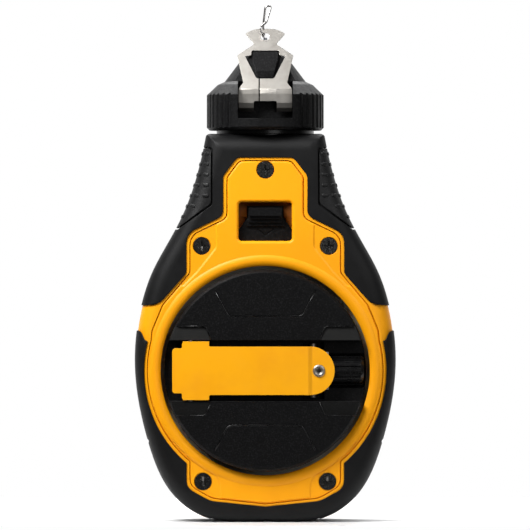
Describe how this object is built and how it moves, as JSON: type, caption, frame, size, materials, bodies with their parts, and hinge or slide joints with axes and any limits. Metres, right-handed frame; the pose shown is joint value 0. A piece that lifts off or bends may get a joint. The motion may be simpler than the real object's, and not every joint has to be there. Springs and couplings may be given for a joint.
{
  "type": "chalk line reel",
  "caption": "Upright chalk line reel with a geared crank disc, fold-out arm, line lock, ribbed screw cap and steel line hook.",
  "frame": {"origin": "centre of the bottom of the reel's box, standing upright on its bottom edge", "axes": "+Z towards the line hook, -Y towards the crank side (front), +X to the right seen from the front"},
  "size_m": [0.1, 0.0471, 0.1986],
  "materials": {
    "yellow_plastic": "moulded, satin",
    "black_rubber": "overmould, fine texture",
    "grip_rubber": "ribbed grip",
    "black_plastic": "fine spark texture",
    "gloss_black": "polished",
    "black_screw": "black oxide",
    "yellow_paint": "powder coat",
    "steel": "brushed stainless",
    "wire": "polished wire",
    "brass_bush": "sintered",
    "gear_plastic": "natural acetal",
    "line": "braided line",
    "felt": "felt"
  },
  "bodies": {
    "housing": {"front_casing": "yellow_plastic", "disc_well": "yellow_plastic", "rear_casing": "yellow_plastic", "cover_plate": "yellow_plastic", "cover_screws": "black_screw", "front_upper_grip": "black_rubber", "rear_upper_grip": "black_rubber", "front_lower_bumper": "black_rubber", "rear_lower_bumper": "black_rubber", "left_grip_pad": "grip_rubber", "right_grip_pad": "grip_rubber", "neck_collar": "gloss_black", "neck_seal": "black_rubber", "line_guide": "black_plastic", "ring_gear": "gear_plastic", "main_axle": "steel", "axle_washer": "steel", "axle_screw": "steel", "line_inner": "line", "lock_spring": "steel"},
    "crank": {"crank_disc": "black_plastic", "planet_pins": "steel", "arm_hinge_pin": "steel", "crank_bush": "brass_bush"},
    "arm": {"crank_arm": "yellow_paint", "knob_bracket": "steel", "arm_rivet": "steel", "knob_cross_pin": "steel"},
    "spindle": {"knob_spindle": "steel"},
    "knob": {"crank_knob": "gloss_black"},
    "planet_1": {"planet_gear_1": "gear_plastic"},
    "planet_2": {"planet_gear_2": "gear_plastic"},
    "planet_3": {"planet_gear_3": "gear_plastic"},
    "spool": {"line_spool": "black_plastic", "sun_gear": "gear_plastic", "line_winding": "line", "spool_bush": "brass_bush"},
    "lock": {"lock_slide": "black_plastic", "brake_shoe": "black_rubber"},
    "wiper": {"felt_wiper": "felt", "felt_retainer": "black_plastic"},
    "cap": {"screw_cap": "black_plastic", "cap_nose": "black_plastic"},
    "line_end": {"hook_clip": "wire", "line_lead": "line"},
    "hook": {"line_hook": "steel"}
  },
  "joints": [
    {"name": "crank_spin", "type": "hinge", "parent": "housing", "child": "crank", "pos_m": [0, 0, 0.058], "axis": [0, 1, 0], "continuous": true},
    {"name": "spool_spin", "type": "hinge", "parent": "housing", "child": "spool", "pos_m": [0, 0, 0.058], "axis": [0, 1, 0], "continuous": true},
    {"name": "planet_1_spin", "type": "hinge", "parent": "crank", "child": "planet_1", "pos_m": [0, 0, 0.076], "axis": [0, 1, 0], "continuous": true},
    {"name": "planet_2_spin", "type": "hinge", "parent": "crank", "child": "planet_2", "pos_m": [-0.01559, 0, 0.049], "axis": [0, 1, 0], "continuous": true},
    {"name": "planet_3_spin", "type": "hinge", "parent": "crank", "child": "planet_3", "pos_m": [0.01559, 0, 0.049], "axis": [0, 1, 0], "continuous": true},
    {"name": "arm_fold", "type": "hinge", "parent": "crank", "child": "arm", "pos_m": [-0.0286, -0.0216, 0.058], "axis": [0, 0, -1], "range_deg": [0, 180]},
    {"name": "knob_flip", "type": "hinge", "parent": "arm", "child": "spindle", "pos_m": [0.0183, -0.0152, 0.058], "axis": [0, 0, 1], "range_deg": [0, 90]},
    {"name": "knob_spin", "type": "hinge", "parent": "spindle", "child": "knob", "pos_m": [0.03, -0.0152, 0.058], "axis": [1, 0, 0], "continuous": true},
    {"name": "lock_travel", "type": "slide", "parent": "housing", "child": "lock", "axis": [0, 0, -1], "range_m": [0, 0.005]},
    {"name": "cap_lift", "type": "slide", "parent": "housing", "child": "wiper", "axis": [0, 0, 1], "range_m": [0, 0.009]},
    {"name": "cap_turn", "type": "hinge", "parent": "wiper", "child": "cap", "pos_m": [0, 0, 0.1502], "axis": [0, 0, 1], "range_deg": [0, 1080]},
    {"name": "line_pull", "type": "slide", "parent": "cap", "child": "line_end", "axis": [0, 0, 1], "range_m": [0, 0.04]},
    {"name": "hook_swing", "type": "hinge", "parent": "line_end", "child": "hook", "pos_m": [0, -0.0025, 0.1862], "axis": [-1, 0, 0], "range_deg": [0, 28]}
  ],
  "couplings": [
    {"joint": "spool_spin", "follows": "crank_spin", "ratio": 3},
    {"joint": "planet_1_spin", "follows": "crank_spin", "ratio": -4},
    {"joint": "planet_2_spin", "follows": "crank_spin", "ratio": -4},
    {"joint": "planet_3_spin", "follows": "crank_spin", "ratio": -4},
    {"joint": "knob_flip", "follows": "arm_fold", "ratio": 0.5},
    {"joint": "cap_lift", "follows": "cap_turn", "m_per_rad": 0.00047746}
  ]
}
